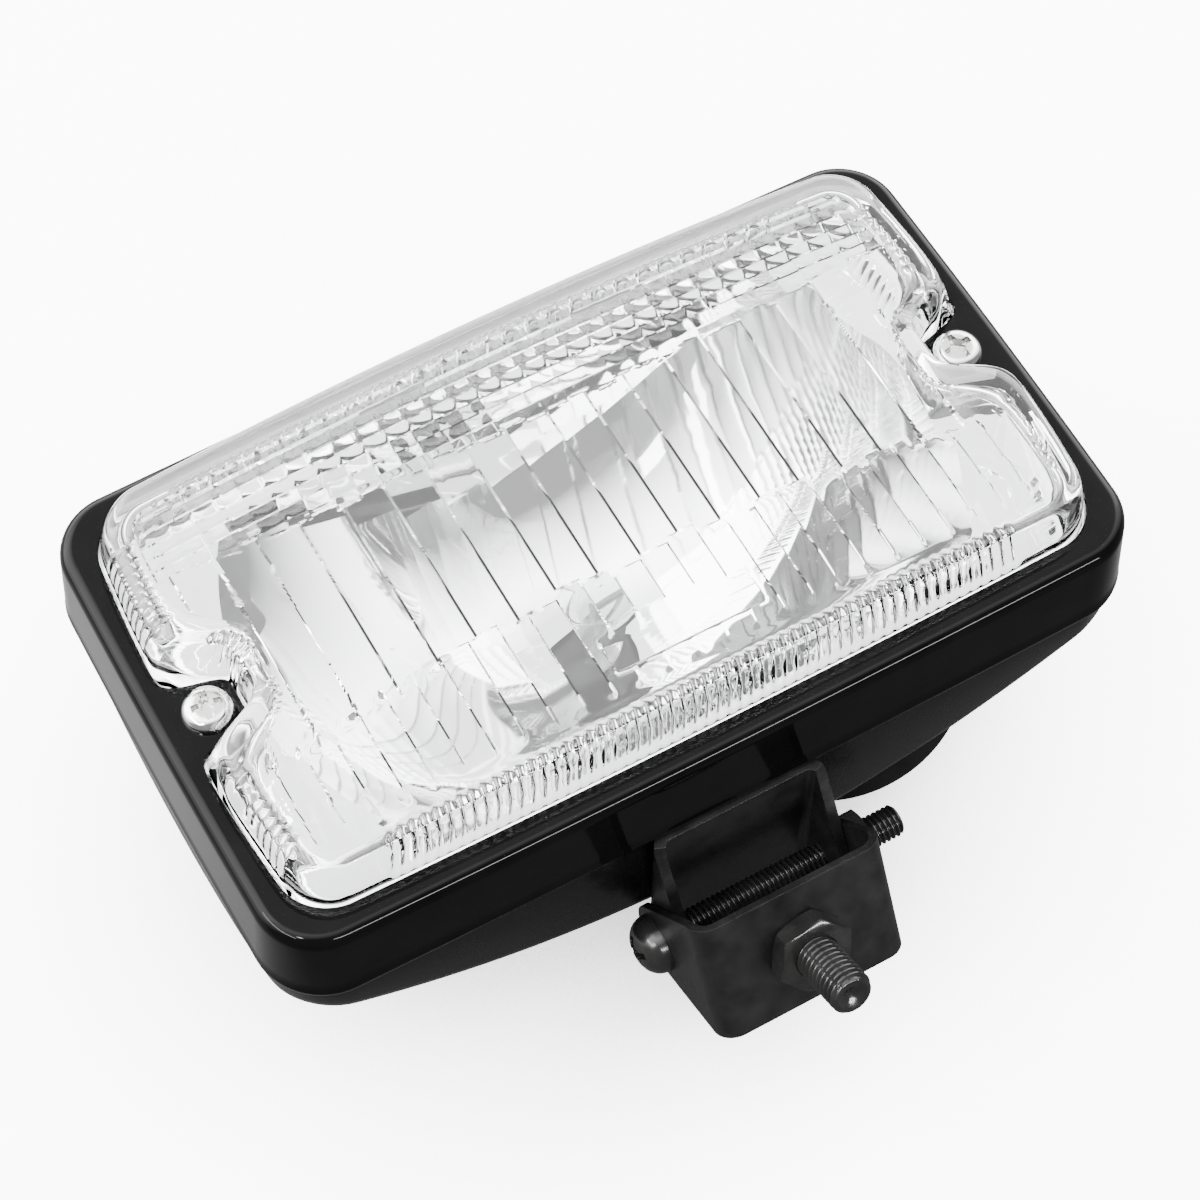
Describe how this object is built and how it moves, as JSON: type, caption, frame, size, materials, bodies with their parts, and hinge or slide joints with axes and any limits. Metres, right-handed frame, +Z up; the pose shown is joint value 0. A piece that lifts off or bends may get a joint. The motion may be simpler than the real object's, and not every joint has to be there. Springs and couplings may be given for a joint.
{
  "type": "fog light",
  "caption": "Rectangular vehicle fog light with a ribbed glass lens, a black steel frame and housing, and a swivelling, tilting foot bracket on a threaded stud.",
  "frame": {"origin": "centre of the foot bracket's seat face, on the axis of the mounting stud", "axes": "+Z up the stud axis into the lamp, +X along the lamp's length and its tilt axis, -Y the way the lens faces (aimed down 27.3 degrees at rest)"},
  "size_m": [0.1692, 0.1019, 0.1315],
  "materials": {
    "frame_gloss": "glossy black enamel",
    "housing_satin": "satin black enamel",
    "bracket_coat": "satin black electrocoat",
    "black_steel": "black oxide",
    "screw_chrome": "bright zinc chrome",
    "spring_steel": "plain",
    "lens_glass": "clear pressed glass",
    "bulb_quartz": "clear",
    "tungsten": "drawn wire",
    "reflector_chrome": "mirror",
    "seal_rubber": "matt",
    "seal_silicone": "matt, pale",
    "cap_black": "gloss",
    "ceramic": "matt",
    "lead_blue": "satin insulation",
    "nylon": "matt"
  },
  "bodies": {
    "anchor": {"mounting_stud": "black_steel", "mounting_nut": "black_steel"},
    "foot": {"base_bracket": "bracket_coat", "pivot_bolt": "black_steel", "pivot_nut": "black_steel"},
    "lamp": {"bezel": "frame_gloss", "bezel_screws": "screw_chrome", "screw_clips": "spring_steel", "lens": "lens_glass", "lens_gasket": "seal_silicone", "reflector": "reflector_chrome", "rear_housing": "housing_satin", "rear_cap": "cap_black", "cable_grommet": "seal_rubber", "bulb_glass": "bulb_quartz", "bulb_filament": "tungsten", "bulb_base": "black_steel", "bulb_insulator": "ceramic", "bulb_clip": "spring_steel", "clip_screw": "spring_steel", "bulb_lead": "lead_blue", "lead_terminal": "nylon", "earth_tab": "spring_steel", "arm_bracket": "bracket_coat"}
  },
  "joints": [
    {"name": "swivel", "type": "hinge", "parent": "anchor", "child": "foot", "pos_m": [0, 0, 0], "axis": [0, 0, 1], "range_deg": [-45, 45]},
    {"name": "tilt", "type": "hinge", "parent": "foot", "child": "lamp", "pos_m": [0, 0.004, 0.0216], "axis": [1, 0, 0], "range_deg": [-42, 8]}
  ]
}
